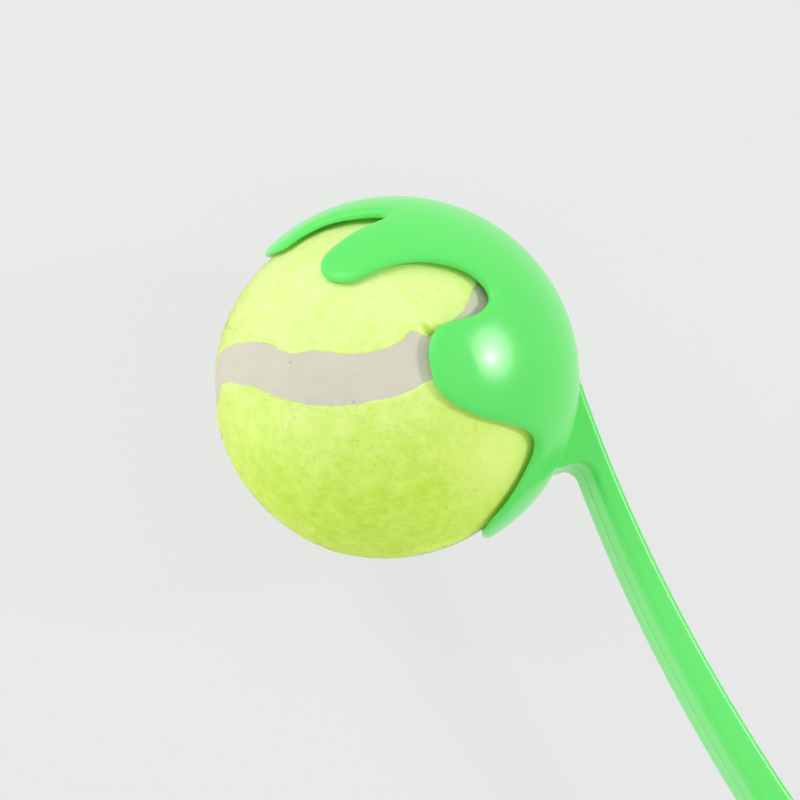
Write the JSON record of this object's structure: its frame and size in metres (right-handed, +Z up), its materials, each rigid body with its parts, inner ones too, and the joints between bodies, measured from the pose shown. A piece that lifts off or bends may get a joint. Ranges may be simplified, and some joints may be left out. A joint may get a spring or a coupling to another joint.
{
  "type": "tennis ball launcher",
  "caption": "Long curved throwing stick with a clawed cup that grips a felt-covered ball, and a soft finger-grooved handle with a hang hole.",
  "frame": {"origin": "centre of the footprint of the launcher as it lies on its side on the ground", "axes": "+X runs from the ball's end to the butt of the handle, the mouth of the cup faces -Y, and +Z is up as it lies"},
  "size_m": [0.5066, 0.1066, 0.0691],
  "materials": {
    "green_plastic": "smooth injection-moulded polypropylene with a soft gloss",
    "soft_grip": "matt overmoulded elastomer",
    "felt": "optic yellow-green needle felt with a short nap",
    "seam_rubber": "matt grey-beige seam rubber",
    "core_rubber": "moulded rubber, out of sight"
  },
  "bodies": {
    "launcher": {"launcher_moulding": "green_plastic", "grip_sleeve": "soft_grip"},
    "ball": {"ball_core_half_a": "core_rubber", "ball_core_half_b": "core_rubber", "felt_panel_a": "felt", "felt_panel_b": "felt", "seam_band": "seam_rubber"}
  },
  "joints": [
    {"name": "ball_release", "type": "slide", "parent": "launcher", "child": "ball", "axis": [0, -1, 0], "range_m": [0, 0.05]}
  ]
}
